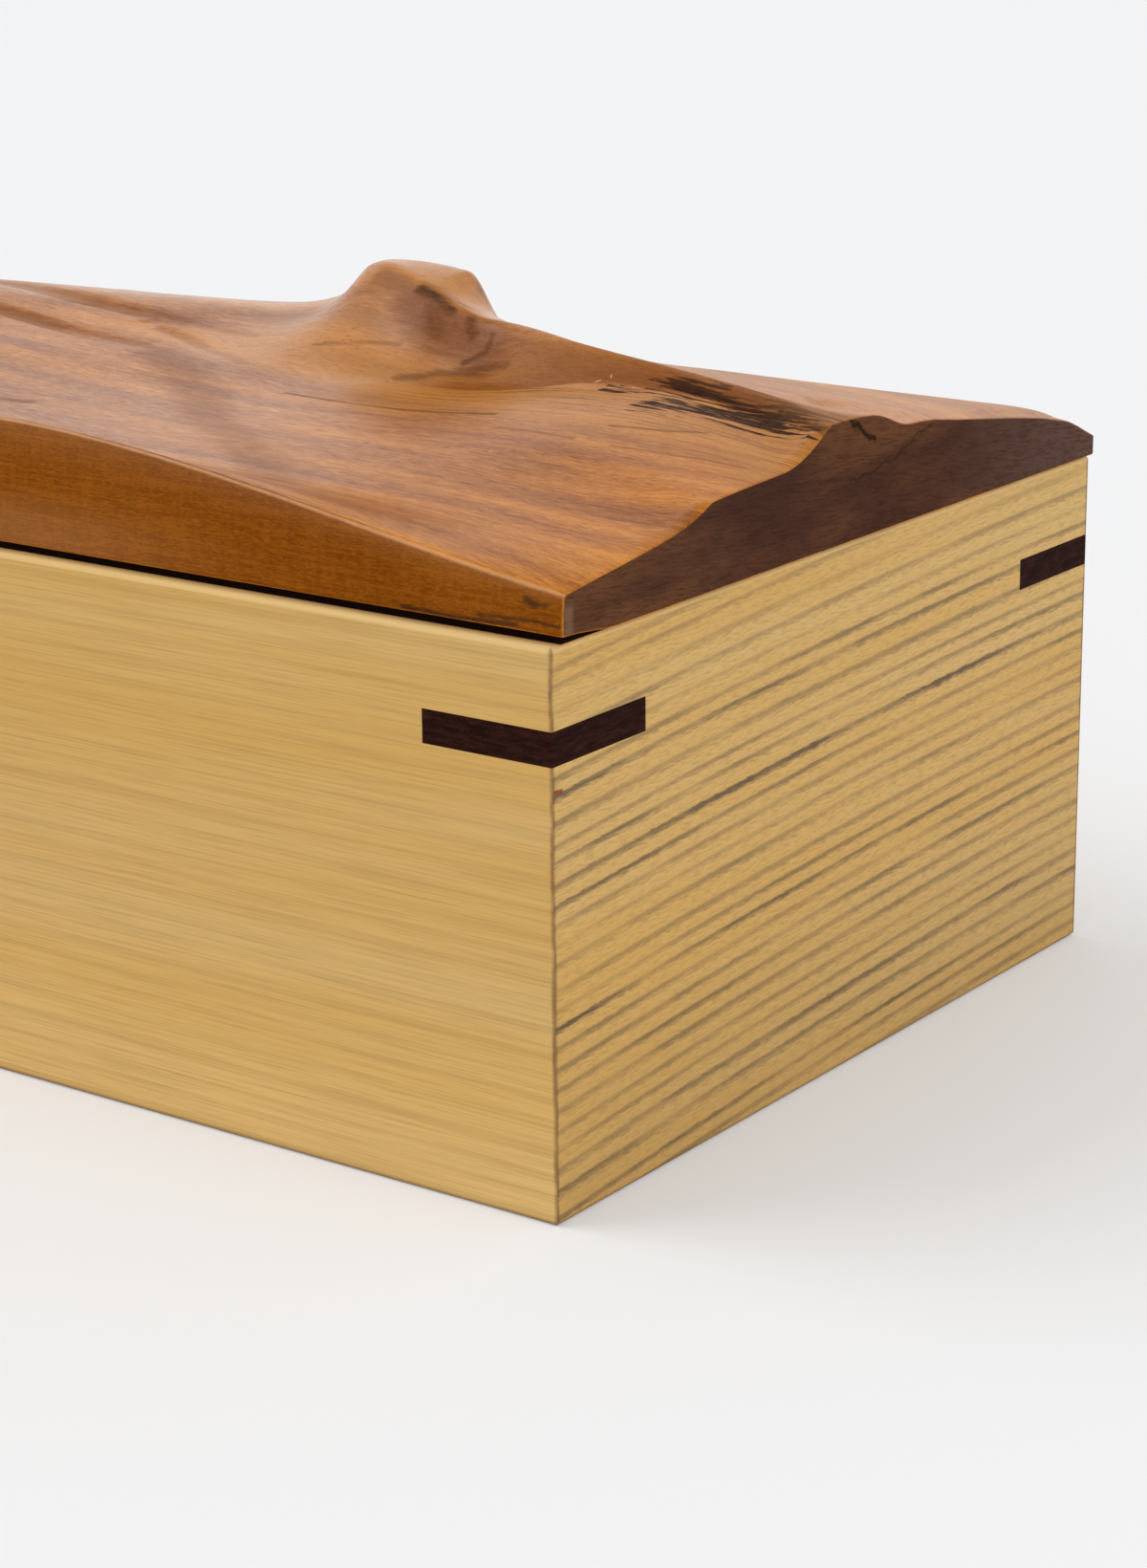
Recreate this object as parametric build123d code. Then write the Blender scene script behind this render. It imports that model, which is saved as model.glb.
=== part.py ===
from build123d import *
import os

# A mitred softwood box with a thick carved lid that lifts off. Millimetres, +Z up.
# The origin is the centre of the footprint, on the surface that the box stands on.
# The front is towards -Y, and the carving is highest near the middle of the length.

# Body
body_length = 280.0
body_depth = 180.0
body_height = 100.0
wall = 15.0
rim_round = 1.0  # both upper arrises of each wall
foot_ease = 0.5  # both lower arrises of each wall

# Corner keys, one across each mitre
key_thickness = 6.0
key_leg = 26.5  # how far a key shows on each of the two faces
front_key_drop = 14.0  # rim down to the top of the key
back_key_drop = 16.0  # the back keys sit a little lower

# Bottom panel, loose in a groove
panel_thickness = 6.0
panel_lift = 6.0
groove_depth = 6.0
panel_float = 0.5  # room for the panel to swell, at each edge
groove_play = 0.2  # room above the panel

# Carved lid
blank_thickness = 32.0
end_overhang = 1.4
front_inset = 1.4
lid_ease = 1.2  # lower arrises and upright corners

# Battens under the lid, which keep the board flat and hold it in place on the box
batten_width = 22.0
batten_thickness = 8.0
batten_clearance = 1.0  # to the inside of the walls
batten_lead = 2.0  # chamfer that guides the lid into the mouth

# Brass slotted screws through the battens
screw_diameter = 3.5
screw_head_diameter = 7.0
screw_head_height = 2.2
screw_length = 14.0
screw_slot_width = 1.0
screw_slot_depth = 0.8
screw_clearance = 0.1
screw_inset = 20.0  # end screws, from the ends of the batten
screws_per_batten = 3

overrun = 5.0  # how far cutting shapes run past what they cut

# The carving is drawn by guide lines that run from the right end of the lid to its left end.
# Each pair is a place along the length and a value: heights are shares of the blank's
# thickness, and places across are shares of the depth, measured from the front face.
front_crest_shares = ((0, 0.262), (0.43, 0.756), (0.6, 0.78), (1, 0.375))
hollow_place_shares = ((0, 0.123), (0.42, 0.255), (1, 0.225))
hollow_height_shares = ((0, 0.344), (0.42, 0.315), (1, 0.285))
swell_place_shares = ((0, 0.24), (0.18, 0.4), (0.43, 0.49), (1, 0.45))
swell_height_shares = ((0, 0.497), (0.18, 0.452), (0.4, 0.325), (1, 0.295))
toe_place_shares = (
    (0, 0.358), (0.14, 0.55), (0.26, 0.615), (0.43, 0.69), (0.48, 0.66), (0.6, 0.62), (1, 0.62),
)
toe_height_shares = (
    (0, 0.525), (0.14, 0.612), (0.26, 0.52), (0.43, 0.325), (0.54, 0.35), (1, 0.345),
)
ridge_place_shares = (
    (0, 0.448), (0.085, 0.537), (0.31, 0.694), (0.41, 0.762), (0.46, 0.773), (0.542, 0.826),
    (0.6, 0.85), (0.75, 0.87), (1, 0.85),
)
ridge_height_shares = (
    (0, 0.71), (0.085, 0.724), (0.42, 0.706), (0.46, 0.8), (0.49, 0.855), (0.542, 0.93), (0.562, 0.89),
    (0.584, 0.72), (0.61, 0.595), (0.7, 0.495), (1, 0.45),
)
brow_reach_shares = (
    (0, 0.062), (0.085, 0.04), (0.41, 0.05), (0.46, 0.081), (0.514, 0.055), (0.545, 0.036), (1, 0.04),
)
brow_height_shares = (
    (0, 0.704), (0.085, 0.654), (0.2, 0.622), (0.45, 0.625), (0.46, 0.71), (0.473, 0.882),
    (0.495, 0.915), (0.53, 0.927), (0.566, 0.895), (0.588, 0.75), (0.611, 0.62), (0.66, 0.517),
    (0.75, 0.467), (1, 0.435),
)
slope_reach_share = 0.36  # the back slope's middle, between the brow and the back shoulder
slope_height_share = 0.62
shoulder_place_share = 0.925
shoulder_height_shares = (
    (0, 0.292), (0.04, 0.34), (0.27, 0.335), (0.36, 0.24), (0.53, 0.28), (0.68, 0.42), (1, 0.39),
)
back_edge_shares = ((0, 0.12), (0.43, 0.112), (0.7, 0.203), (1, 0.188))
swell_crease_shares = ((0, 0.42), (0.12, 0.2), (0.3, 0), (1, 0))  # extra slope up to the swell
ridge_flare_share = 1.7  # slope under the ridge, against the straight rise from the toe
hump_shares = (0.39, 0.66)  # the stretch where the sections stand close together
stretch_spans = (16, 26, 12)  # between the sections, right of the hump, over it and left of it

# Sizes that follow from those above
half_length = body_length / 2
half_depth = body_depth / 2
inside_length = body_length - 2 * wall
inside_depth = body_depth - 2 * wall
lid_length = body_length + 2 * end_overhang
lid_depth = body_depth - front_inset
lid_right = lid_length / 2
lid_front = front_inset - half_depth
batten_length = inside_depth - 2 * batten_clearance
batten_place = inside_length / 2 - batten_clearance - batten_width / 2
batten_underside = body_height - batten_thickness


def easy_slopes(points):
    """The slope at each point of a smooth line that never swings past its points."""
    rates = [(after[1] - before[1]) / (after[0] - before[0]) for before, after in zip(points, points[1:])]
    inner = [
        2 * left * right / (left + right) if left * right > 0 else 0
        for left, right in zip(rates, rates[1:])
    ]
    return [rates[0], *inner, rates[-1]]


def at_place(shares, place):
    """The value of a guide line at a place, and of its straight run-out past the ends of the lid."""
    slopes = easy_slopes(shares)
    if place <= shares[0][0]:
        return shares[0][1] + slopes[0] * (place - shares[0][0])
    if place >= shares[-1][0]:
        return shares[-1][1] + slopes[-1] * (place - shares[-1][0])
    i = max(k for k in range(len(shares) - 1) if shares[k][0] <= place)
    (start, low), (end, high) = shares[i], shares[i + 1]
    span = end - start
    t = (place - start) / span
    near = low * (1 + 2 * t) + slopes[i] * span * t
    far = high * (3 - 2 * t) - slopes[i + 1] * span * (1 - t)
    return near * (1 - t) ** 2 + far * t**2


def cut_line(x, points, leaving, arriving):
    """One cut across the lid, as a chain of curves with given slopes out of and into its points."""
    curves = []
    for start, end, leave, arrive in zip(points, points[1:], leaving, arriving[1:]):
        third = (end[0] - start[0]) / 3
        curves.append(Bezier(
            (x, *start),
            (x, start[0] + third, start[1] + leave * third),
            (x, end[0] - third, end[1] - arrive * third),
            (x, *end),
        ))
    return curves


def carving_section(place):
    """The closed section of the carved block at one place along the lid, with an arris at the ridge."""
    ridge = at_place(ridge_place_shares, place)
    ridge_height = at_place(ridge_height_shares, place)
    brow = ridge + at_place(brow_reach_shares, place)
    brow_height = at_place(brow_height_shares, place)
    shoulder_height = at_place(shoulder_height_shares, place)
    hollow_side = (
        (0, at_place(front_crest_shares, place)),
        (at_place(hollow_place_shares, place), at_place(hollow_height_shares, place)),
        (at_place(swell_place_shares, place), at_place(swell_height_shares, place)),
        (at_place(toe_place_shares, place), at_place(toe_height_shares, place)),
        (ridge, ridge_height),
    )
    back_side = (
        (ridge, ridge_height),
        (brow, brow_height),
        (
            brow + slope_reach_share * (shoulder_place_share - brow),
            shoulder_height + slope_height_share * (brow_height - shoulder_height),
        ),
        (shoulder_place_share, shoulder_height),
        (1, at_place(back_edge_shares, place)),
    )
    x = lid_right - place * lid_length

    def sized(shares):
        return [
            (lid_front + lid_depth * across, body_height + blank_thickness * up)
            for across, up in shares
        ]

    hollow_points, back_points = sized(hollow_side), sized(back_side)
    field_slopes = easy_slopes(hollow_points[:-1])
    from_crest, through_hollow, from_swell, to_toe = field_slopes
    to_swell = from_swell + at_place(swell_crease_shares, place)
    scoop_rise = easy_slopes(hollow_points[-2:])[-1]
    hollow = cut_line(
        x, hollow_points,
        leaving=(from_crest, through_hollow, from_swell, 0),
        arriving=(from_crest, through_hollow, to_swell, to_toe, ridge_flare_share * scoop_rise),
    )
    back_slopes = easy_slopes(back_points)
    back = cut_line(x, back_points, back_slopes, back_slopes)
    front_end, back_end = hollow[0] @ 0, back[-1] @ 1
    front_start = front_end - Vector(0, overrun, from_crest * overrun)
    back_stop = back_end + Vector(0, overrun, back_slopes[-1] * overrun)
    front_foot = (x, front_start.Y, body_height - overrun)
    back_foot = (x, back_stop.Y, body_height - overrun)
    return Face(Wire([
        Line(front_foot, front_start), Line(front_start, front_end), *hollow, *back,
        Line(back_end, back_stop), Line(back_stop, back_foot), Line(back_foot, front_foot),
    ]))


def carved_block():
    """The carved form, lofted through its sections and a little larger than the lid all round."""
    margin = overrun / lid_length
    stops = (-margin, *hump_shares, 1 + margin)
    places = [
        start + (end - start) * i / spans
        for start, end, spans in zip(stops, stops[1:], stretch_spans)
        for i in range(spans)
    ]
    return loft([carving_section(place) for place in (*places, stops[-1])])


def screw_places():
    """The middle of each screw's head on the underside of its batten."""
    step = (batten_length - 2 * screw_inset) / (screws_per_batten - 1)
    return [
        Pos(side * batten_place, screw_inset - batten_length / 2 + step * i, batten_underside)
        for side in (-1, 1)
        for i in range(screws_per_batten)
    ]


def screw_shape(clearance):
    """A countersunk screw that points up, grown on all sides by a clearance."""
    radius = screw_diameter / 2 + clearance
    head_radius = screw_head_diameter / 2 + clearance
    head = Cone(head_radius, radius, screw_head_height, align=(Align.CENTER, Align.CENTER, Align.MIN))
    shank = Cylinder(radius, screw_length + clearance, align=(Align.CENTER, Align.CENTER, Align.MIN))
    return head + shank


def corner_keys():
    """One triangular key for each corner, let in across the mitre."""
    key = extrude(make_face(Polyline((0, 0), (key_leg, 0), (0, key_leg), close=True)), key_thickness)
    top = body_height - key_thickness
    corners = {
        "front_left_key": (-1, -1, 0, front_key_drop),
        "front_right_key": (1, -1, 90, front_key_drop),
        "back_right_key": (1, 1, 180, back_key_drop),
        "back_left_key": (-1, 1, 270, back_key_drop),
    }
    return {
        name: Pos(x * half_length, y * half_depth, top - drop) * Rot(0, 0, turn) * key
        for name, (x, y, turn, drop) in corners.items()
    }


def wall_board(run):
    """A wall of the box with its outer face on the XZ plane, grooved and mitred at both ends."""
    profile = Rectangle(wall, body_height, align=(Align.MIN, Align.MIN))
    profile = fillet(profile.vertices().group_by(Axis.Y)[-1], rim_round)
    profile = chamfer(profile.vertices().group_by(Axis.Y)[0], foot_ease)
    groove_height = panel_thickness + groove_play
    groove = Rectangle(groove_depth + overrun, groove_height, align=(Align.MIN, Align.MIN))
    profile -= Pos(wall - groove_depth, panel_lift) * groove
    board = extrude(Plane.YZ * profile, run / 2, both=True)
    reach = run / 2 + overrun
    inner_reach = run / 2 - wall - overrun
    mitres = Polyline(
        (-reach, -overrun), (reach, -overrun),
        (inner_reach, wall + overrun), (-inner_reach, wall + overrun), close=True,
    )
    return board & extrude(make_face(mitres), body_height)


def walls(keys):
    """The four walls in place, slotted for the keys."""
    long_board = wall_board(body_length)
    short_board = wall_board(body_depth)
    boards = {
        "front_wall": Pos(0, -half_depth, 0) * long_board,
        "right_end_wall": Pos(half_length, 0, 0) * Rot(0, 0, 90) * short_board,
        "back_wall": Pos(0, half_depth, 0) * Rot(0, 0, 180) * long_board,
        "left_end_wall": Pos(-half_length, 0, 0) * Rot(0, 0, 270) * short_board,
    }
    return {name: board - list(keys.values()) for name, board in boards.items()}


def bottom_panel():
    """The loose bottom, which lies on the lower side of the groove."""
    tongue = 2 * (groove_depth - panel_float)
    panel = Box(inside_length + tongue, inside_depth + tongue, panel_thickness,
                align=(Align.CENTER, Align.CENTER, Align.MIN))
    return Pos(0, 0, panel_lift) * panel


def lid_batten(side):
    """A cross batten near one end wall, with countersunk holes."""
    batten = Box(batten_width, batten_length, batten_thickness,
                 align=(Align.CENTER, Align.CENTER, Align.MIN))
    batten = chamfer(batten.edges().group_by(Axis.Z)[0], batten_lead)
    batten = Pos(side * batten_place, 0, batten_underside) * batten
    return batten - [place * screw_shape(screw_clearance) for place in screw_places()]


def batten_screws():
    """All the screws, as separate solids."""
    slot = Box(screw_head_diameter + overrun, screw_slot_width, screw_slot_depth,
               align=(Align.CENTER, Align.CENTER, Align.MIN))
    screw = screw_shape(0) - slot
    return Compound(children=[place * screw for place in screw_places()])


def carved_lid():
    """The board with its eased lower arrises, cut to the carved surface and drilled for the screws."""
    blank = Box(lid_length, lid_depth, blank_thickness + overrun,
                align=(Align.CENTER, Align.MIN, Align.MIN))
    eased = blank.edges().filter_by(Axis.Z) + blank.edges().group_by(Axis.Z)[0]
    blank = Pos(0, lid_front, body_height) * fillet(eased, lid_ease)
    return (blank & carved_block()) - [place * screw_shape(screw_clearance) for place in screw_places()]


keys = corner_keys()
pieces = {
    **walls(keys),
    **keys,
    "bottom_panel": bottom_panel(),
    "carved_lid": carved_lid(),
    "right_lid_batten": lid_batten(1),
    "left_lid_batten": lid_batten(-1),
    "batten_screws": batten_screws(),
}
os.makedirs("parts", exist_ok=True)
for name, piece in pieces.items():
    export_step(piece, f"parts/{name}.step")
    print(name, round(piece.volume), "mm3")
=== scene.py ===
import math

import bmesh
import bpy
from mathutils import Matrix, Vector
from mathutils.bvhtree import BVHTree


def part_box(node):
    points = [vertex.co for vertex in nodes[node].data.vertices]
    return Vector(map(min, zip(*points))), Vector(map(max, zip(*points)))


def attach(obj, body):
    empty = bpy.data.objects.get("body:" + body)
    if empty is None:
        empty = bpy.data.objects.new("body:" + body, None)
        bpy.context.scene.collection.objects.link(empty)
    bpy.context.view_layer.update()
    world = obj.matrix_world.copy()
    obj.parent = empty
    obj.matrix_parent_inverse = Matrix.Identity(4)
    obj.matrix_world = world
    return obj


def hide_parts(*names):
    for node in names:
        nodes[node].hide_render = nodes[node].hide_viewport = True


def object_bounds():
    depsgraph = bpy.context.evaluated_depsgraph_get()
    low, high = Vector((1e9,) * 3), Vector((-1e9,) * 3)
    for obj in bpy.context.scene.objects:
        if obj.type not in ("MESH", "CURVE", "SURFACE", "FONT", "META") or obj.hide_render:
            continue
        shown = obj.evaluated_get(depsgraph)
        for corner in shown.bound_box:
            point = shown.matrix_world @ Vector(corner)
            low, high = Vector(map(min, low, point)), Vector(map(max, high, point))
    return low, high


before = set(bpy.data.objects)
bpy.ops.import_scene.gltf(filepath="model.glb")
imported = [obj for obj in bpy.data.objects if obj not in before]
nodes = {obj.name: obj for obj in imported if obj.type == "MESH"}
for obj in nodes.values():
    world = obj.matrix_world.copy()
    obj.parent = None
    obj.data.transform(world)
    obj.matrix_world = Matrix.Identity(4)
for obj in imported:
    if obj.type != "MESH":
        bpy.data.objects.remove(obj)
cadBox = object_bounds()
scene = bpy.context.scene
scene.view_settings.view_transform = "Standard"
mm = 0.001
strokeEdge = (0.3, 1.4)  # where the edge of a drawn mark fades, in half widths
print("frame loaded:", len(nodes), "nodes")


class Wire:  # one socket in a material, so that sums of sockets read as Python
    def __init__(self, tree, socket=None):
        self.tree = tree
        self.socket = socket

    def add(self, kind, settings=None, sockets=None, out=0):
        node = self.tree.nodes.new("ShaderNode" + kind)
        for name, value in (settings or {}).items():
            if name == "stops":
                ramp = node.color_ramp
                while len(ramp.elements) < len(value):
                    ramp.elements.new(1.0)
                for element, (place, colour) in zip(ramp.elements, value):
                    element.position = place
                    element.color = (*colour, 1.0)
            else:
                setattr(node, name, value)
        for name, value in (sockets or {}).items():
            if isinstance(value, Wire):
                self.tree.links.new(value.socket, node.inputs[name])
            else:
                node.inputs[name].default_value = value
        return Wire(self.tree, node.outputs[out] if node.outputs else None)

    def maths(self, operation, *others):
        return self.add("Math", {"operation": operation}, dict(enumerate((self, *others))))

    def __add__(self, other):
        return self.maths("ADD", other)

    def __sub__(self, other):
        return self.maths("SUBTRACT", other)

    def __rsub__(self, other):
        return (self * -1) + other

    def __mul__(self, other):
        return self.maths("MULTIPLY", other)

    def __truediv__(self, other):
        return self.maths("DIVIDE", other)

    def __abs__(self):
        return self.maths("ABSOLUTE")

    __radd__ = __add__
    __rmul__ = __mul__

    def step(self, low, high):  # 0 below low, 1 above high, smooth between
        settings = {"interpolation_type": "SMOOTHSTEP"}
        return self.add("MapRange", settings, {"Value": self, "From Min": low, "From Max": high})

    def mix(self, first, second):  # two colours, by this factor
        first, second = (c if isinstance(c, Wire) else (*c, 1) for c in (first, second))
        return self.add("Mix", {"data_type": "RGBA"}, {0: self, 6: first, 7: second}, out=2)

    def vectors(self, operation, other, out=0):
        return self.add("VectorMath", {"operation": operation}, {0: self, 1: other}, out)

    def noise(self, scale, detail=2.0, roughness=0.5):
        sockets = {"Vector": self, "Scale": scale, "Detail": detail, "Roughness": roughness}
        return self.add("TexNoise", None, sockets)

    def vector(self, x, y, z):
        return self.add("CombineXYZ", None, {0: x, 1: y, 2: z})

    def parts(self):
        return [self.add("SeparateXYZ", None, {0: self}, out=i) for i in range(3)]

    def coordinates(self, kind="Object"):
        return self.add("TexCoord", None, None, out=kind)

    def distance(self, points):  # from a point to a chain of straight runs
        nearest = None
        for start, end in zip(points, points[1:]):
            run = Vector(end) - Vector(start)
            off = self.vectors("SUBTRACT", start)
            share = off.vectors("DOT_PRODUCT", tuple(run / run.length_squared), 1)
            share = share.add("Clamp", None, {"Value": share})
            foot = self.add("VectorMath", {"operation": "SCALE"}, {0: tuple(run), "Scale": share})
            gap = off.vectors("DISTANCE", foot, 1)
            nearest = gap if nearest is None else nearest.maths("MINIMUM", gap)
        return nearest

    def strokes(self, marks, fray):  # marks are (strength, half width, points), with frayed edges
        total = None
        for strength, width, points in marks:
            mark = (1 - (self.distance(points) / width + fray).step(*strokeEdge)) * strength
            total = mark if total is None else total.maths("MAXIMUM", mark)
        return total

    def surface(self, colour, roughness, height, depth, others):
        bump = self.add("Bump", None, {"Height": height, "Distance": depth})
        sockets = {"Base Color": colour, "Roughness": roughness, "Normal": bump, **others}
        shader = self.add("BsdfPrincipled", None, sockets)
        self.add("OutputMaterial", None, {"Surface": shader})


def newMaterial(name):
    material = bpy.data.materials.new(name)
    material.use_nodes = True
    material.node_tree.nodes.clear()
    return material, Wire(material.node_tree)


def dress(obj, material):
    obj.data.materials.clear()
    obj.data.materials.append(material)


# pale softwood of the box: growth rings stand out on the ends and are faint on the long walls

softwood = {
    "pale": (0.665, 0.43, 0.158),
    "warm": (0.645, 0.38, 0.108),
    "fibre": (0.40, 0.235, 0.07),
    "line": (0.15, 0.098, 0.05),
    "late": ((0.46, 0.80), (0.88, 1.0)),  # where a ring darkens and where it ends, as shares of it
    "tilt": 0.3,  # how far the rings climb through a board's thickness
    "fine": 2300,  # fibres in a metre across the grain
    "glue": (0.17, 0.08, 0.03),
    "glueWidth": 0.9 * mm,
    "glueEdge": 0.1 * mm,
    "glueSway": 0.9 * mm,
    "arris": (0.80, 0.56, 0.24),  # painted highlight along the rim, where its rounded arris sits in shade under the lid
    "arrisPlace": (98.8 * mm, 99.2 * mm),
    "bottomShadePlace": (0.3 * mm, 1.1 * mm),  # painted shade: a dark line where the walls stand on the table
    "edgeShow": 0.6,  # strength of these two
    "footShadingPlace": (2 * mm, 45 * mm),  # painted light and shade on the lower part of a wall: paler on the long walls, darker on the ends
    "calmPlace": (70 * mm, 98 * mm),  # rings may be fainter near the rim
    "chip": (0.2, 0.045, 0.012),
    "relief": 0.03 * mm,
}
plainBoard = {
    "lean": 0.0, "bow": 0.0, "fibre": 0.5, "run": 190, "fade": 26, "ragged": 0.0, "calm": 0.0,
    "line": softwood["line"], "foot": 0.0, "footShadingTone": softwood["fibre"],
}
longBoard = {
    **plainBoard,
    "grain": 0, "height": 2, "deep": 1, "spacing": 4.2 * mm, "show": 0.36, "sway": 0.4 * mm,
    "run": 34, "fade": 7, "line": (0.40, 0.235, 0.075), "foot": 0.5, "footShadingTone": (0.77, 0.51, 0.19),
}
endBoard = {
    **plainBoard,
    "grain": 1, "height": 2, "deep": 0, "spacing": 3.6 * mm, "show": 1.08, "sway": 0.5 * mm,
    "lean": -0.048, "bow": 0.15, "foot": 0.28, "fibre": 0.62, "run": 320, "ragged": 0.5, "calm": 0.45,
}
panelBoard = {
    **plainBoard,
    "grain": 0, "height": 1, "deep": 2, "spacing": 4.5 * mm, "show": 0.35, "sway": 1.5 * mm,
}
battenBoard = {
    **plainBoard,
    "grain": 1, "height": 0, "deep": 2, "spacing": 3.0 * mm, "show": 0.5, "sway": 0.5 * mm,
}


def boardWood(name, board, half, seed, chips=()):
    material, w = newMaterial(name)
    place = w.coordinates()
    axes = place.parts()
    along, up, deep = axes[board["grain"]], axes[board["height"]], axes[board["deep"]]
    fine = softwood["fine"]
    fibre = w.vector(along * board["run"], up * fine, deep * fine).noise(1.0, 4.0, 0.7)

    # growth rings wander a little, and each has its own strength, which comes and goes along it
    wander = w.vector(along * 8 + seed, up * 18, deep * 18).noise(1.0, 3.0) - 0.5
    ring = up + deep * softwood["tilt"] + along * board["lean"] + along * along * board["bow"]
    count = (ring + wander * (board["sway"] * 2)) / board["spacing"]
    count = count + (w.vector(count * 0.4, seed, 0).noise(1.0, 1.0) - 0.5) * 1.1
    count = count + (fibre - 0.5) * board["ragged"]
    turn = count.maths("FRACT")
    darkening, ending = softwood["late"]
    late = turn.step(*darkening) * (1 - turn.step(*ending))
    own = w.add("TexWhiteNoise", {"noise_dimensions": "1D"}, {"W": count.maths("FLOOR") + seed})
    fade = w.vector(along * board["fade"], up * 210, seed).noise(1.0, 3.0, 0.6).step(0.28, 0.70)
    lines = late * (own * 0.5 + 0.5) * (fade * 0.75 + 0.25) * board["show"]
    lines = lines * (1 - up.step(*softwood["calmPlace"]) * board["calm"])

    band = w.vector(along * 4, up * 60, deep * 60 + seed).noise(1.0, 3.0)
    colour = band.step(0.3, 0.7).mix(softwood["pale"], softwood["warm"])
    # painted light and shade towards the foot of a wall, by its height
    foot = (1 - up.step(*softwood["footShadingPlace"])) * board["foot"]
    colour = foot.mix(colour, board["footShadingTone"])
    colour = (fibre.step(0.40, 0.72) * board["fibre"]).mix(colour, softwood["fibre"])
    colour = lines.mix(colour, board["line"])
    if board["height"] == 2:  # only walls stand upright
        # painted shade: a dark line along the bottom edge of a wall
        bottomShade = 1 - up.step(*softwood["bottomShadePlace"])
        colour = (bottomShade * softwood["edgeShow"]).mix(colour, softwood["glue"])
        # painted highlight along the rim, where the rounded arris sits in shade under the lid
        paintedHighlight = up.step(*softwood["arrisPlace"])
        colour = (paintedHighlight * softwood["edgeShow"]).mix(colour, softwood["arris"])

    # glue shows along the mitres
    patchy = w.vector(along * 10, up * 120, seed).noise(1.0, 3.0, 0.7)
    seam = abs(along) + (patchy - 0.5) * softwood["glueSway"]
    seam = seam.step(half - softwood["glueWidth"], half - softwood["glueEdge"])
    colour = (seam * (patchy * 1.1 + 0.1)).mix(colour, softwood["glue"])
    if chips:
        colour = place.strokes(chips, (fibre - 0.5) * 0.8).mix(colour, softwood["chip"])
    relief = fibre * 0.6 - lines * 0.5 - seam * 0.6
    w.surface(colour, fibre * 0.16 + 0.42, relief, softwood["relief"], {"Specular IOR Level": 0.14})
    return material


wallChips = {"right_end_wall": [(0.9, 0.5 * mm, [(0.140, -0.0893, 0.0757), (0.140, -0.0875, 0.0755)])]}
lidOverhang = 1.4 * mm  # past each end of the box
halfLength, halfDepth = cadBox[1][0] - lidOverhang, cadBox[1][1]
noMitre = 1.0  # half length of a board that never reaches its glue lines
for node in ("front_wall", "back_wall"):
    dress(nodes[node], boardWood(node + "_wood", longBoard, halfLength, len(node)))
for node in ("right_end_wall", "left_end_wall"):
    chips = wallChips.get(node, ())
    dress(nodes[node], boardWood(node + "_wood", endBoard, halfDepth, len(node) + 0.3, chips))
dress(nodes["bottom_panel"], boardWood("bottom_panel_wood", panelBoard, noMitre, 3.7))
for node in ("right_lid_batten", "left_lid_batten"):
    dress(nodes[node], boardWood(node + "_wood", battenBoard, noMitre, len(node) + 0.7))
print("softwood boards dressed")

# dark hardwood keys across the mitres

keyWood = {
    "dark": (0.014, 0.0042, 0.003),
    "light": (0.040, 0.0125, 0.008),
    "pore": (0.005, 0.002, 0.0015),
    "streaks": (240, 240, 1500),  # in a metre along each axis
    "pores": 1900,
    "relief": 0.05 * mm,
}


def keyMaterial():
    material, w = newMaterial("key_wood")
    place = w.coordinates()
    streak = place.vectors("MULTIPLY", keyWood["streaks"]).noise(1.0, 3.0, 0.6)
    pores = place.noise(keyWood["pores"], 1.0).step(0.60, 0.70)
    colour = streak.step(0.3, 0.75).mix(keyWood["dark"], keyWood["light"])
    colour = (pores * 0.8).mix(colour, keyWood["pore"])
    relief = streak - pores
    w.surface(colour, streak * 0.15 + 0.5, relief, keyWood["relief"], {"Specular IOR Level": 0.02})
    return material


keyFinish = keyMaterial()
for node in ("front_left_key", "front_right_key", "back_right_key", "back_left_key"):
    dress(nodes[node], keyFinish)
print("keys dressed")

# brass screws

brass = {"bright": (0.72, 0.49, 0.19), "dull": (0.42, 0.27, 0.11), "tarnish": 600, "relief": 0.02 * mm}


def brassMaterial():
    material, w = newMaterial("screw_brass")
    place = w.coordinates()
    tarnish = place.noise(brass["tarnish"], 3.0, 0.6)
    colour = tarnish.step(0.35, 0.75).mix(brass["bright"], brass["dull"])
    w.surface(colour, tarnish * 0.3 + 0.2, tarnish, brass["relief"], {"Metallic": 1.0})
    return material


dress(nodes["batten_screws"], brassMaterial())
print("screws dressed")

# carved lid: a fine grid laid over the carving, with soft flutes and rounded arrises

lidForm = {
    "cell": 0.9 * mm,
    "rim": 3.4 * mm,  # outer row of cells, wide enough for the rounded arrises
    "rows": (0.85, 0.65, 0.4, 0.2, 0.0),  # rows down each side, as shares of its height
    "lean": 0.085,  # how far the front crest rolls back, as a share of the height
    "roll": 4,  # power that keeps the roll near the crest
    "lift": (1.45 * mm, 0.3 * mm),  # height of the groove under the lid's edge, at the front and elsewhere
    "liftReach": 16 * mm,  # over which its height changes along the ends
    "groove": 1.3 * mm,  # depth of that groove
    "inset": 0.995,  # where the carving is read, as a share of the half sizes, so that its edge isn't missed
    "calming": 7,  # smoothing passes away from the arris of the ridge
    "settling": 3,  # smoothing passes over the flutes
    "crease": math.radians(14),
    "scooping": 240,  # smoothing passes that hollow out the foot of the hump
    "segments": 4,
    "round": 2.0 * mm,  # full bevel, which the shares below take part of
    "frontCrest": 0.5,
    "otherCrest": 0.22,
    "upright": 0.5,
    "frontFoot": 0.45,
    "otherFoot": 0.26,
}
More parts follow.
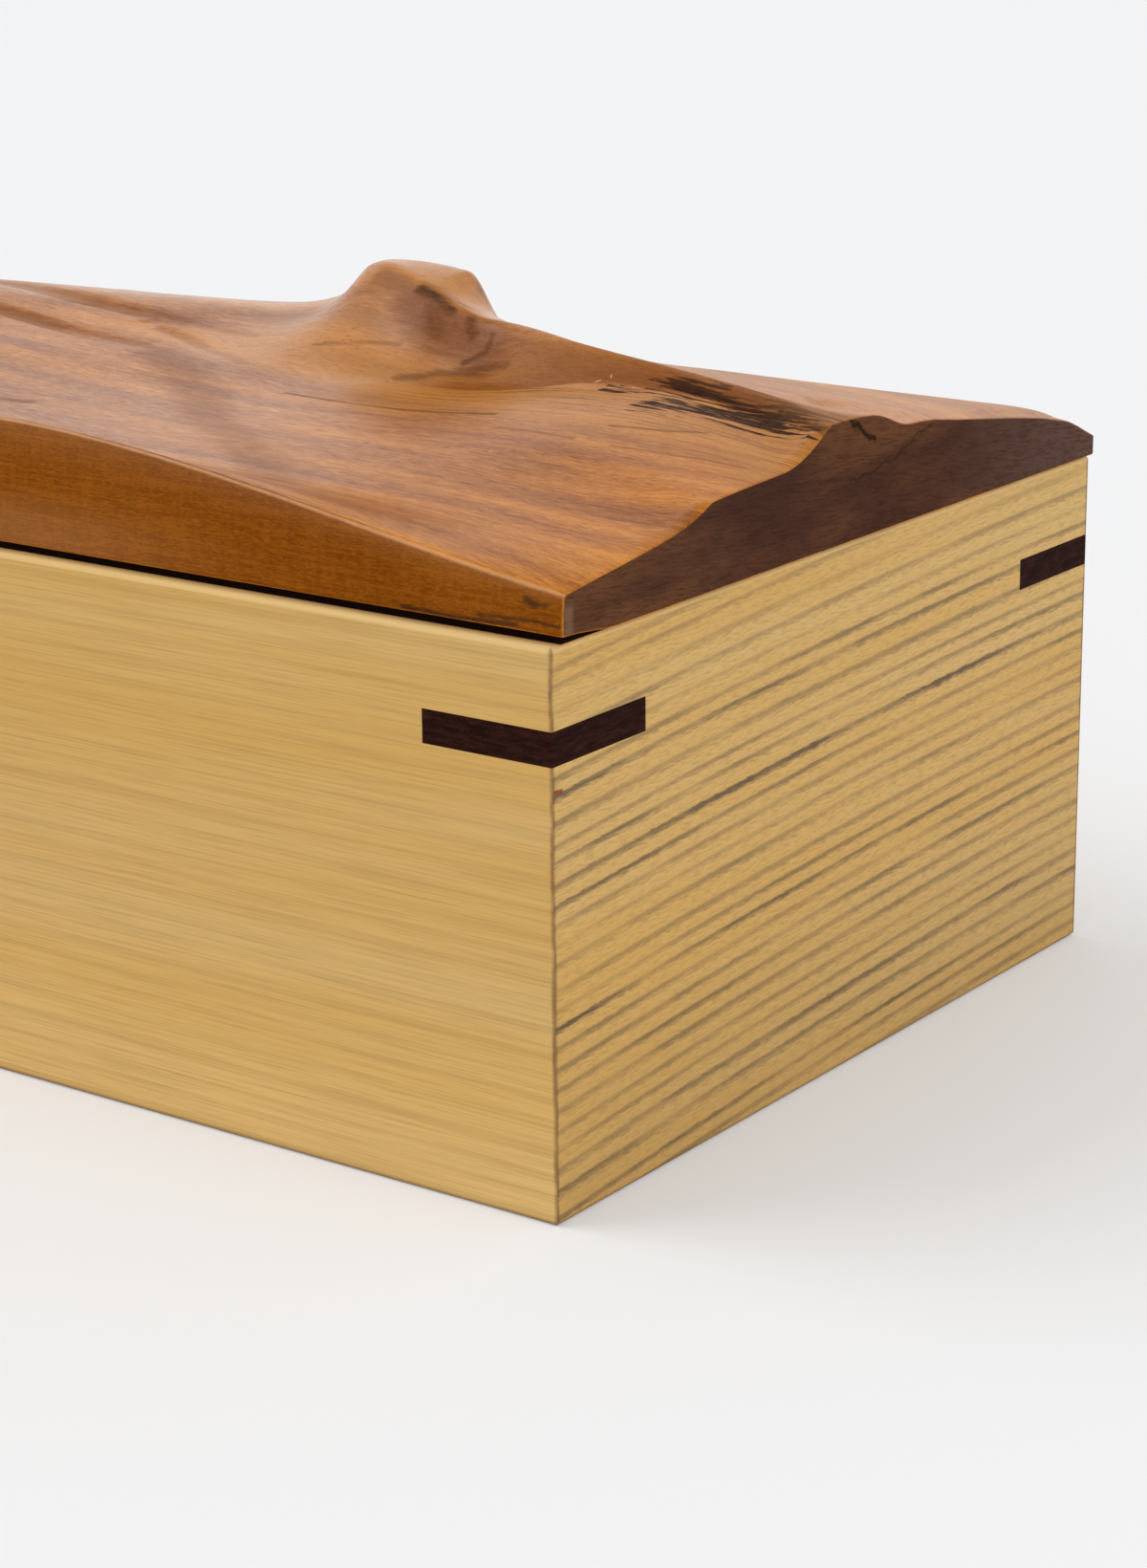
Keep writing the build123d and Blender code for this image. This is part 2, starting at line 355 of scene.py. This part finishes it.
lidFlutes = [  # (rise, half width, where it fades out along the lid, points) in millimetres
    (-1.5, 6.0, (190, 200), [(150, 13), (118, 27)]),  # runs out past the end, so it never fades
    (-1.1, 2.4, (-100, -40), [(-150, 71), (-90, 58), (-40, 46)]),
    (-1.1, 2.2, (-100, -35), [(-125, 50), (-90, 40), (-35, 26)]),
    (-0.8, 1.8, (-58, -20), [(-72, 50), (-20, 26)]),
]


def ramp(value, low, high):  # 0 below low, 1 above high, smooth between
    share = min(max((value - low) / (high - low), 0), 1)
    return share * share * (3 - 2 * share)


def crestLine(x):  # where the ridge lies across the lid, in millimetres
    return 52.5 - 0.22 * x - 0.0016 * x * x


def footLine(x):  # where the ridge's foot lies to the right of the hump
    return 32.56 + 0.0254 * x - 0.00236 * x * x


def offLine(place, line):
    gaps = []
    for start, end in zip(line, line[1:]):
        run, off = Vector(end) - Vector(start), place - Vector(start)
        share = min(max(off.dot(run) / run.length_squared, 0), 1)
        gaps.append((off - run * share).length)
    return min(gaps)


scoopZone = {"left": (-85, -50), "right": (-4, 16), "front": (4, 24), "back": (-8, 1)}  # back from the crest


def scoopShare(x, y):  # how much the hump's foot is hollowed out at a place
    across = ramp(x, *scoopZone["left"]) * (1 - ramp(x, *scoopZone["right"]))
    behind = ramp(y, *(crestLine(x) + off for off in scoopZone["back"]))
    return across * ramp(y, *scoopZone["front"]) * (1 - behind)


def carvedLid():
    low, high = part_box("carved_lid")
    middle, half = (low + high) / 2, (high - low) / 2
    near = 0.01 * mm  # closer than this counts as touching
    source = bmesh.new()
    source.from_mesh(nodes["carved_lid"].data)
    bmesh.ops.remove_doubles(source, verts=source.verts, dist=near / 10)
    carving = BVHTree.FromBMesh(source)
    rim = lidForm["rim"]
    inner = half - Vector((rim, rim, 0))
    bm = bmesh.new()
    weight = bm.edges.layers.float.new("bevel_weight_edge")
    cells = [round(2 * size / lidForm["cell"]) for size in inner.xy]
    bmesh.ops.create_grid(bm, x_segments=cells[0], y_segments=cells[1], size=1)
    bmesh.ops.scale(bm, vec=(inner.x, inner.y, 1), verts=bm.verts)

    def grow():  # a new row of faces around the open edge
        edge = [e for e in bm.edges if e.is_boundary]
        fresh = bmesh.ops.extrude_edge_only(bm, edges=edge)["geom"]
        return [v for v in fresh if isinstance(v, bmesh.types.BMVert)]

    def sharpen():
        for e in bm.edges:
            e.smooth = e.smooth and not e.is_boundary

    def calm(verts):
        bmesh.ops.smooth_vert(bm, verts=verts, factor=0.5, use_axis_z=True)

    for v in grow():
        for i in range(2):
            if abs(v.co[i]) > inner[i] - near:
                v.co[i] = math.copysign(half[i], v.co[i])
    down = Vector((0, 0, -1))
    inset = lidForm["inset"]
    for v in bm.verts:  # drop the grid on the carving
        above = Vector((middle.x + v.co.x * inset, middle.y + v.co.y * inset, high.z + 1))
        v.co = Vector((middle.x + v.co.x, middle.y + v.co.y, carving.ray_cast(above, down)[0].z))
    bm.normal_update()
    sharp = {v for e in bm.edges if e.calc_face_angle(0) > lidForm["crease"] for v in e.verts}
    field = [v for v in bm.verts if not v.is_boundary]
    smooth = [v for v in field if v not in sharp]
    for _ in range(lidForm["calming"]):
        calm(smooth)
    shares = [(scoopShare(v.co.x / mm, v.co.y / mm), v) for v in field]
    shares = [(share, v) for share, v in shares if share > 0]
    for i in range(lidForm["scooping"]):
        calm([v for share, v in shares if share * lidForm["scooping"] > i])
    for v in bm.verts:
        place = v.co.xy / mm
        for rise, width, fade, line in lidFlutes:
            depth = rise * mm * (1 - ramp(place.x, *fade))
            v.co.z += depth * math.exp(-(offLine(place, line) / width) ** 2)
    for _ in range(lidForm["settling"]):
        calm(field)
    crest = [e for e in bm.edges if e.is_boundary]
    frontLift, otherLift = lidForm["lift"]

    def footHeight(v):
        back = ramp(v.co.y, low.y, low.y + lidForm["liftReach"])
        return low.z + frontLift + (otherLift - frontLift) * back

    last = 1.0
    for share in lidForm["rows"]:
        for v in grow():
            base = footHeight(v)
            v.co.z = base + (v.co.z - base) * share / last
        last = share
    foot = [e for e in bm.edges if e.is_boundary]
    for v in grow():
        for i in range(2):
            v.co[i] = middle[i] + (v.co[i] - middle[i]) * (1 - lidForm["groove"] / half[i])
    sharpen()
    for v in grow():
        v.co.z = low.z
    sharpen()
    bmesh.ops.edgeloop_fill(bm, edges=[e for e in bm.edges if e.is_boundary])

    def atFront(v):
        return v.co.y < low.y + near

    def offCorner(v):
        return abs(abs(v.co.x - middle.x) - half.x) + abs(abs(v.co.y - middle.y) - half.y)

    for e in bm.edges:
        if max(offCorner(v) for v in e.verts) < near:
            e[weight] = lidForm["upright"]
    for e in crest:
        e[weight] = lidForm["frontCrest" if all(map(atFront, e.verts)) else "otherCrest"]
    for e in foot:
        e[weight] = lidForm["frontFoot" if all(map(atFront, e.verts)) else "otherFoot"]
    tops = {round(v.co.x, 6): v.co.z for e in crest for v in e.verts if atFront(v)}
    for v in [v for v in bm.verts if atFront(v)]:
        base = footHeight(v)
        tall = tops[round(v.co.x, 6)] - base
        v.co.y += lidForm["lean"] * tall * ((v.co.z - base) / tall) ** lidForm["roll"]
    bmesh.ops.recalc_face_normals(bm, faces=bm.faces)
    for f in bm.faces:
        f.smooth = True
    mesh = bpy.data.meshes.new("carved_lid_board")
    bm.to_mesh(mesh)
    obj = bpy.data.objects.new("carved_lid_board", mesh)
    scene.collection.objects.link(obj)
    rounding = obj.modifiers.new("arrises", "BEVEL")
    rounding.limit_method = "WEIGHT"
    rounding.width = lidForm["round"]
    rounding.segments = lidForm["segments"]
    return obj


# the lid's wood is fine-grained and orange brown, with black lines of decay beside the ridge;
# the marks below are (strength, half width, points), all in millimetres

lidWood = {
    "dark": (0.26, 0.074, 0.008),
    "middle": (0.455, 0.150, 0.017),
    "light": (0.635, 0.235, 0.031),
    "pale": (0.62, 0.31, 0.13),
    "splinter": (0.80, 0.55, 0.28),
    "golden": (0.52, 0.215, 0.042),
    "ruddy": (0.17, 0.045, 0.009),
    "shade": (0.19, 0.062, 0.018),
    "sideDark": (0.15, 0.036, 0.002),
    "sideLight": (0.27, 0.076, 0.005),
    "black": (0.026, 0.012, 0.008),
    # painted shade, near black, for the groove under the lid's edge
    "groove": (0.009, 0.005, 0.004),
    "end": (0.066, 0.029, 0.020),
    "endRuddy": (0.145, 0.060, 0.028),
    "endFar": (0.145, 0.088, 0.068),
    "saw": (0.034, 0.015, 0.011),
    "shake": (0.012, 0.006, 0.005),
    "paleCorner": (0.30, 0.19, 0.12),
    "relief": 0.03 * mm,
}
lidGrain = {  # noise cells in a millimetre along, across and up, then detail and roughness
    "swirl": ((0.009, 0.02, 0.02), 2.0),
    "ripple": ((0.03, 0.09, 0.09), 2.0),
    "bands": ((0.009, 0.09, 0.0), 3.0, 0.5),
    "streaks": ((0.012, 0.45, 0.02), 4.0, 0.65),
    "threads": ((0.035, 1.7, 0.05), 4.0, 0.65),
    "fibre": ((0.22, 1.7, 0.8), 4.0, 0.78),
    "fray": ((0.05, 1.5, 0.5), 4.0, 0.7),
    "soft": ((0.05, 0.5, 0.2), 5.0, 0.7),
    "veins": ((0.045, 1.0, 0.5), 3.0, 0.7),
    "pores": ((0.45, 4.2, 2.0), 1.0),
    "line": ((0.045, 0.0, 1.3), 4.0, 0.7),
    "fleck": ((0.7, 1.0, 0.05), 3.0, 0.6),
    "speck": ((0.9, 1.0, 4.5), 2.0, 0.7),
    "cloud": ((1.0, 0.04, 0.16), 3.0, 0.6),
    "jog": ((0.0, 0.25, 0.25), 3.0, 0.6),
}
lidZones = {  # where masks rise from 0 to 1, in millimetres
    "hollow": (-70, 25),  # y
    "beside": (-8, 30),  # x, to the right of the hump
    "foot": (-0.5, 0.5),  # this and the next four are measured forward from the ridge's foot
    "golden": (8, 30),
    "threads": (8, 38),
    "shade": (-17, -1),
    "shadeEnd": (-0.6, 0.4),
    "sideTop": (104, 114),  # z
    "sideRight": (20, 80),  # x
    "crest": (-86.5, -85),  # y
    "grooveDepth": (0.7, 1.1),
    "grooveFoot": (0.0, 0.1),
    "grooveTop": (1.8, 2.2),
    "endNear": (-84, -30),  # y
    "endFar": (20, 85),  # y
    "behind": (-2, 6),  # past the crest of the ridge
    "dull": (-40, 150),  # x
    "dullLeft": (-60, 10),  # x
    "dullBehind": (10, 80),  # x
}
decay = [  # fine black lines cluster about these lines, as wide as their half widths
    (1.0, 5.5, [(92.0, 9.0, 118.6), (108.0, 5.5, 120.2), (124.0, -0.5, 121.2), (138.0, -7.0, 122.4)]),
    (0.8, 2.6, [(73.8, 21.0, 117.6), (87.7, 17.6, 119.5), (105.2, 12.1, 121.8)]),
]
blackMarks = [
    (0.5, 0.5, [(91.2, -3.7, 116.3), (105.9, -6.9, 117.4), (114.5, -7.0, 118.0)]),
    (0.4, 0.4, [(99.4, -15.3, 115.5), (117.8, -20.6, 116.6), (134.1, -24.4, 116.9)]),
    (0.6, 0.7, [(-0.4, 11.8, 110.5), (36.1, 9.9, 110.9), (56.5, 6.7, 113.1)]),
    (0.4, 0.8, [(65.9, -4.0, 113.3), (88.3, -11.7, 114.9)]),
]
humpMarks = [
    (1.0, 1.7, [(3.5, 51.6, 126.4), (9.5, 49.4, 125.1), (14.0, 48.0, 123.6)]),
    (0.6, 2.4, [(8.5, 49.2, 124.9), (12.9, 44.7, 118.9)]),
    (1.0, 1.5, [(19.6, 47.2, 121.6), (21.6, 45.5, 118.8)]),
    (0.8, 1.1, [(27.0, 45.2, 119.5), (26.9, 43.0, 116.7), (22.5, 41.5, 114.4)]),
    (0.45, 1.5, [(11.2, 33.9, 110.9), (17.7, 38.8, 111.9), (28.4, 40.0, 114.0), (34.8, 38.8, 115.4)]),
    (0.35, 0.8, [(-14.3, 38.5, 114.8), (5.9, 41.6, 116.5)]),
    (0.5, 2.0, [(-48.5, -21.8, 109.7), (-40.0, -21.0, 109.7)]),
]
# partly the wood's own figure and partly painted shade: the broad band across the hollow, the dark sides of
# the flutes and the band below the hump's crest
ruddyMarks = [
    (0.75, 3.4, [(-150.0, 72.0, 114.4), (-95.0, 60.0, 113.9)]),
    (0.5, 2.6, [(-95.0, 60.0, 113.9), (-62.0, 52.0, 113.4)]),
    (0.3, 1.6, [(-62.0, 52.0, 113.4), (-36.0, 45.0, 113.0)]),
    (0.7, 2.6, [(-125.0, 51.0, 112.4), (-88.0, 40.5, 112.0)]),
    (0.5, 1.9, [(-88.0, 40.5, 112.0), (-58.0, 33.5, 111.6)]),
    (0.3, 1.5, [(-58.0, 33.5, 111.6), (-30.0, 24.0, 111.2)]),
    (0.5, 6.0, [(-50.0, 28.5, 111.6), (-23.8, 9.4, 110.4), (2.2, -13.6, 110.1)]),
    (0.4, 5.5, [(2.2, -13.6, 110.1), (30.1, -34.5, 110.2), (56.0, -56.0, 111.8)]),
    (0.45, 1.8, [(-66.0, 48.0, 112.6), (-44.0, 37.0, 112.1)]),
    (0.3, 1.4, [(-44.0, 37.0, 112.1), (-24.0, 27.0, 111.5)]),
    (0.7, 2.6, [(-10.3, 56.0, 127.6), (-2.2, 53.4, 126.6), (11.3, 48.4, 123.8), (23.1, 45.4, 119.0)]),
    (0.85, 3.2, [(108.0, 11.5, 121.4), (124.0, 4.5, 122.4), (139.5, -1.0, 122.7)]),
    (0.85, 6.5, [(4.0, 50.0, 125.0), (13.0, 46.0, 120.0), (22.0, 45.0, 118.0), (27.0, 43.0, 116.5)]),
]
pits = [
    (0.8, 0.55, [(45.3, -19.1, 110.7), (46.0, -19.1, 110.7)]),
    (0.7, 0.5, [(26.4, -5.3, 110.3), (27.4, -5.3, 110.3)]),
    (0.6, 0.5, [(64.0, -18.6, 111.8), (64.5, -18.6, 111.8)]),
    (0.5, 0.5, [(44.6, -7.4, 111.0), (45.0, -8.4, 111.0)]),
]
splinters = [
    (0.6, 0.26, [(67.8, 24.3, 117.6), (68.8, 24.3, 118.0)]),
    (0.6, 0.22, [(71.0, 24.8, 119.2), (71.4, 24.2, 118.8)]),
    (0.5, 0.26, [(8.0, -2.3, 110.2), (10.2, -2.8, 110.2)]),
    (0.4, 0.26, [(75.3, -20.1, 112.6), (75.8, -20.1, 112.6)]),
]
# painted sheen on the hollow beside the hump and on the hump's top
paintedSheenMarks = [
    (0.5, 17.0, [(-38.0, 42.0, 113.0), (-12.0, 40.0, 116.0), (4.0, 34.0, 113.0)]),
    (0.45, 9.0, [(-6.0, 62.0, 128.0), (14.0, 56.0, 124.0)]),
]
sideMarks = [
    (1.0, 0.75, [(134.2, -88.6, 106.9), (136.0, -88.6, 106.2)]),
    (0.8, 0.5, [(136.0, -88.6, 106.2), (138.2, -88.6, 106.5)]),
    (0.9, 0.5, [(108.8, -88.6, 102.3), (120.0, -88.6, 102.0), (132.1, -88.6, 102.5)]),
    (0.8, 0.4, [(124.4, -88.6, 103.1), (136.0, -88.6, 103.6), (140.7, -88.6, 103.2)]),
]
endMarks = [
    (0.4, 0.32, [(141.4, 26.5, 117.1), (141.4, 21.4, 115.8), (141.4, 13.1, 112.9), (141.4, 1.7, 111.4)]),
    (0.28, 0.28, [(141.4, 1.7, 111.4), (141.4, -8.0, 112.6), (141.4, -18.9, 114.4)]),
    (0.8, 0.6, [(141.4, -4.6, 123.0), (141.4, -0.9, 121.6), (141.4, 6.4, 117.5)]),
]


def lidMaterial():
    material, w = newMaterial("lid_wood")
    place = w.coordinates().vectors("MULTIPLY", (1000, 1000, 1000))
    x, y, z = place.parts()
    facing = w.coordinates("Normal").parts()
    forward = facing[1] * -1

    def grain(kind, across):
        cells, *settings = lidGrain[kind]
        return w.vector(x * cells[0], across * cells[1], z * cells[2]).noise(1.0, *settings)

    def zone(value, name):
        return value.step(*lidZones[name])

    # growth layers run along the lid and bend forward towards its right end
    right, left = x.maths("MAXIMUM", 0.0), x.maths("MINIMUM", 0.0)
    bend = right * 0.025 - right * right * 0.00236 - left * 0.2
    reach = zone(y, "hollow") * 0.5 + 0.5
    swirl, ripple = grain("swirl", y) - 0.5, grain("ripple", y) - 0.5
    layer = y - bend * reach + z * 0.4 + swirl * 7 + ripple * 1.6
    bands, streaks = grain("bands", layer), grain("streaks", layer)
    threads, fibre = grain("threads", layer), grain("fibre", layer)
    tone = bands * 0.44 + streaks * 0.09 + threads * 0.07 + fibre * 0.40
    stops = [(0.41, lidWood["dark"]), (0.5, lidWood["middle"]), (0.59, lidWood["light"])]
    colour = w.add("ValToRGB", {"stops": stops}, {0: tone})

    # golden wood in front of the ridge's foot with dark threads in it, and shade behind the foot
    depth = footLine(right) - y + ripple * 2.5
    beside = zone(x, "beside")
    golden = zone(depth, "foot") * (1 - zone(depth, "golden")) * beside
    colour = (golden * (streaks * 0.7 + 0.35)).mix(colour, lidWood["golden"])
    thin = threads.step(0.50, 0.62) * (1 - zone(depth, "threads")) * zone(depth, "foot") * beside
    colour = (thin * 0.75).mix(colour, lidWood["ruddy"])
    shade = zone(depth, "shade") * (1 - zone(depth, "shadeEnd")) * beside
    colour = (shade * 0.7).mix(colour, lidWood["shade"])

    # black and ruddy marks, broken up along the grain; the pale marks are painted sheen, and some ruddy
    # marks are painted shade
    fray, soft = (grain("fray", layer) - 0.5) * 3.4, (grain("soft", layer) - 0.5) * 2.4
    warped = place.vectors("ADD", w.vector(swirl * 2, ripple * 1.2, 0))
    colour = warped.strokes(paintedSheenMarks, soft * 0.3).mix(colour, lidWood["pale"])
    ruddy = warped.strokes(ruddyMarks, soft)
    colour = (ruddy * 0.85).mix(colour, lidWood["ruddy"])
    black = warped.strokes(blackMarks, fray).maths("MAXIMUM", place.strokes(humpMarks, soft))
    cluster = warped.strokes(decay, 0.0)
    veins = (grain("veins", layer) + cluster * 0.21).step(0.61, 0.68)
    black = black.maths("MAXIMUM", veins * cluster.step(0.0, 0.3))
    colour = (black * (fibre * 0.6 + 0.65)).mix(colour, lidWood["black"])
    pores = grain("pores", layer).step(0.60, 0.70)
    colour = (pores * 0.45).mix(colour, lidWood["ruddy"])
    colour = place.strokes(pits, (fibre - 0.5) * 0.8).mix(colour, lidWood["ruddy"])
    colour = place.strokes(splinters, (fibre - 0.5) * 0.8).mix(colour, lidWood["splinter"])

    # the front side is darker, with fine level grain and upright flecks; its upward-tilted top is painted
    # paler as painted light, it is paler towards the bottom at the left, and a painted highlight runs along
    # its crest
    front = forward.step(0.5, 0.92)
    line, fleck, speck = grain("line", y), grain("fleck", y), grain("speck", y)
    sideTone = line * 0.42 + fleck * 0.13 + speck * 0.45
    sideTone = sideTone.step(0.40, 0.61).mix(lidWood["sideDark"], lidWood["sideLight"])
    sideTone = place.strokes(sideMarks, (speck - 0.5) * 1.6).mix(sideTone, lidWood["black"])
    # painted light: the top of the front side, which tilts upward, is paler
    sideTone = (facing[2].step(0.04, 0.32) * 0.1).mix(sideTone, lidWood["pale"])
    lower = (1 - zone(z, "sideTop")) * (1 - zone(x, "sideRight"))
    sideTone = (lower * 0.2).mix(sideTone, lidWood["pale"])
    colour = (front * 0.9).mix(colour, sideTone)
    # painted highlight along the front crest
    paintedHighlight = forward.step(0.25, 0.5) * (1 - forward.step(0.7, 0.93))
    paintedHighlight = paintedHighlight * (1 - zone(y, "crest")) * facing[2].step(0.1, 0.5) * (fleck * 0.5 + 0.3)
    colour = paintedHighlight.mix(colour, lidWood["pale"])

    # painted shade: the groove under the edge is painted near black
    low, high = (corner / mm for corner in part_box("carved_lid"))
    inside = (y - low.y).maths("MINIMUM", high.y - y)
    inside = inside.maths("MINIMUM", x - low.x).maths("MINIMUM", high.x - x)
    raised = z - low.z
    groove = zone(inside, "grooveDepth") * zone(raised, "grooveFoot") * (1 - zone(raised, "grooveTop"))
    colour = groove.mix(colour, lidWood["groove"])

    # sawn ends are dark, with fine slanting saw lines, a curved shake and a paler patch at the near corner
    sawn = abs(facing[0]).step(0.75, 0.92)
    saw = w.vector(x, y * 0.25, z * 2.6 + y * 0.3).noise(1.0, 4.0, 0.7)
    cloud = grain("cloud", y)
    above = (z - 112.5 - y * 0.02).step(0, 5) * (1 - abs(y - 8).step(12, 30))
    near = 1 - zone(y, "endNear")
    endTone = (above * 0.35 + near * 0.3 + cloud).step(0.3, 1.0).mix(lidWood["end"], lidWood["endRuddy"])
    endTone = (zone(y, "endFar") * 0.6).mix(endTone, lidWood["endFar"])
    endTone = (saw.step(0.42, 0.66) * 0.5).mix(endTone, lidWood["saw"])
    jog = grain("jog", y) - 0.5
    jogged = place.vectors("ADD", w.vector(0, jog * 2, jog * 3.5))
    endTone = jogged.strokes(endMarks, (saw - 0.5) * 1.8).mix(endTone, lidWood["shake"])
    paleCorner = (1 - (abs(y + 86.9) / 1.8).step(0.2, 1.0)) * (1 - (abs(z - 104.0) / 3.6).step(0.3, 1.1))
    endTone = (paleCorner * cloud * 0.7).mix(endTone, lidWood["paleCorner"])
    colour = (sawn * (1 - groove)).mix(colour, endTone)

    # the polish is fuller towards the left and on the slope behind the ridge, whose upward-facing parts are
    # also painted paler as painted sheen
    behind = zone(y - crestLine(x), "behind")
    # painted sheen on the upward-facing slope behind the ridge
    colour = (behind * facing[2].step(0.5, 0.9) * 0.3).mix(colour, lidWood["pale"])
    dulled = zone(x, "dull") * 0.52 + (1 - zone(x, "dullLeft")) * 0.16 + 0.14
    dulled = dulled * (1 - behind) + behind * zone(x, "dullBehind") * 0.45
    polish = facing[2].step(0.1, 0.7) * (1 - dulled) * (fibre * 1.2 + 0.35) * (1 - black * 0.7)
    polish = polish * (1 - shade * 0.6) * (1 - ruddy * 0.55)
    rough = streaks * 0.12 + sawn * 0.15 + 0.46
    relief = fibre * 0.6 + threads * 0.3 + saw * sawn * 0.6
    coat = {"Specular IOR Level": 0.0, "Coat Weight": polish, "Coat Roughness": 0.27, "Coat IOR": 1.5}
    w.surface(colour, rough, relief, lidWood["relief"], coat)
    return material


lid = carvedLid()
dress(lid, lidMaterial())
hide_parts("carved_lid")
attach(lid, "lid")
print("lid carved:", len(lid.data.polygons), "faces before its arrises")

# camera where the photograph was taken

view = {
    "place": (0.4770, -0.5491, 0.2496),
    "turn": (73.1726, 0.573, 35.7628),  # degrees
    "lens": 84.74,
    "sensor": 36,
    "clip": 0.01,
}
camera = bpy.data.objects.new("camera", bpy.data.cameras.new("camera"))
camera.location = view["place"]
camera.rotation_euler = [math.radians(angle) for angle in view["turn"]]
camera.data.lens = view["lens"]
camera.data.sensor_width = view["sensor"]
camera.data.clip_start = view["clip"]
scene.collection.objects.link(camera)
scene.camera = camera

# pale floor, room light and soft lamps

studio = {
    "size": 6,  # half the floor's width in metres
    "drop": 0.1 * mm,  # room between the floor and the box
    "floor": (0.905, 0.91, 0.92),
    "mottle": 0.985,
    "glow": 0.22,  # how much of the floor's own white the camera sees through its shade
    "room": 0.68,
    "backdrop": 0.865,
    "paper": 1.1,  # what the finish mirrors of the backdrop behind the box
    "behind": (-0.587, 0.81, 0.0),  # level direction from the camera to the box
    "dim": 0.1,  # what it mirrors of the room above and before the box
}
lamps = {  # place, spread in degrees and power
    "window": ((-0.90, -0.42, 1.0), 45, 1.0),
    "reflector": ((0.98, -0.30, 0.45), 70, 0.8),
}


def studioFloor():
    bm = bmesh.new()
    bmesh.ops.create_grid(bm, x_segments=1, y_segments=1, size=studio["size"])
    bmesh.ops.translate(bm, vec=(0, 0, -studio["drop"]), verts=bm.verts)
    mesh = bpy.data.meshes.new("floor")
    bm.to_mesh(mesh)
    obj = bpy.data.objects.new("floor", mesh)
    scene.collection.objects.link(obj)
    material, w = newMaterial("floor_paper")
    tone = w.coordinates().noise(3.0, 2.0)
    colour = tone.mix(studio["floor"], [studio["mottle"] * c for c in studio["floor"]])
    sockets = {"Base Color": colour, "Roughness": 0.9, "Specular IOR Level": 0.1}
    paper = w.add("BsdfPrincipled", None, sockets)
    glow = w.add("Emission", None, {"Color": (*studio["floor"], 1.0)})
    seen = w.add("LightPath", None, None, out="Is Camera Ray")
    shader = w.add("MixShader", None, {0: seen * studio["glow"], 1: paper, 2: glow})
    w.add("OutputMaterial", None, {"Surface": shader})
    dress(obj, material)


def studioLight():
    world = bpy.data.worlds.new("room")
    scene.world = world
    world.use_nodes = True
    world.node_tree.nodes.clear()
    w = Wire(world.node_tree)
    seen = w.add("LightPath", None, None, out="Is Camera Ray")
    mirrored = w.add("LightPath", None, None, out="Is Glossy Ray")
    through = w.add("LightPath", None, None, out="Is Transmission Ray")
    towards = w.coordinates("Generated")
    level = towards.vectors("DOT_PRODUCT", studio["behind"], 1)
    upward = towards.parts()[2]
    paper = level.step(-0.3, 0.3) * (1 - upward.step(0.32, 0.72))
    gloss = paper * (studio["paper"] - studio["dim"]) + studio["dim"]
    shown = (seen + through).maths("MINIMUM", 1.0)
    strength = shown * studio["backdrop"] + mirrored * gloss + (1 - shown - mirrored) * studio["room"]
    background = w.add("Background", None, {"Color": (1, 1, 1, 1), "Strength": strength})
    w.add("OutputWorld", None, {"Surface": background})


def lamp(name, place, spread, power):
    light = bpy.data.lights.new(name, "SUN")
    light.angle = math.radians(spread)
    light.energy = power
    obj = bpy.data.objects.new(name, light)
    obj.location = place
    obj.rotation_euler = (-Vector(place)).to_track_quat("-Z", "Y").to_euler()
    scene.collection.objects.link(obj)


studioFloor()
studioLight()
for name, settings in lamps.items():
    lamp(name, *settings)
print("camera, floor and light set")
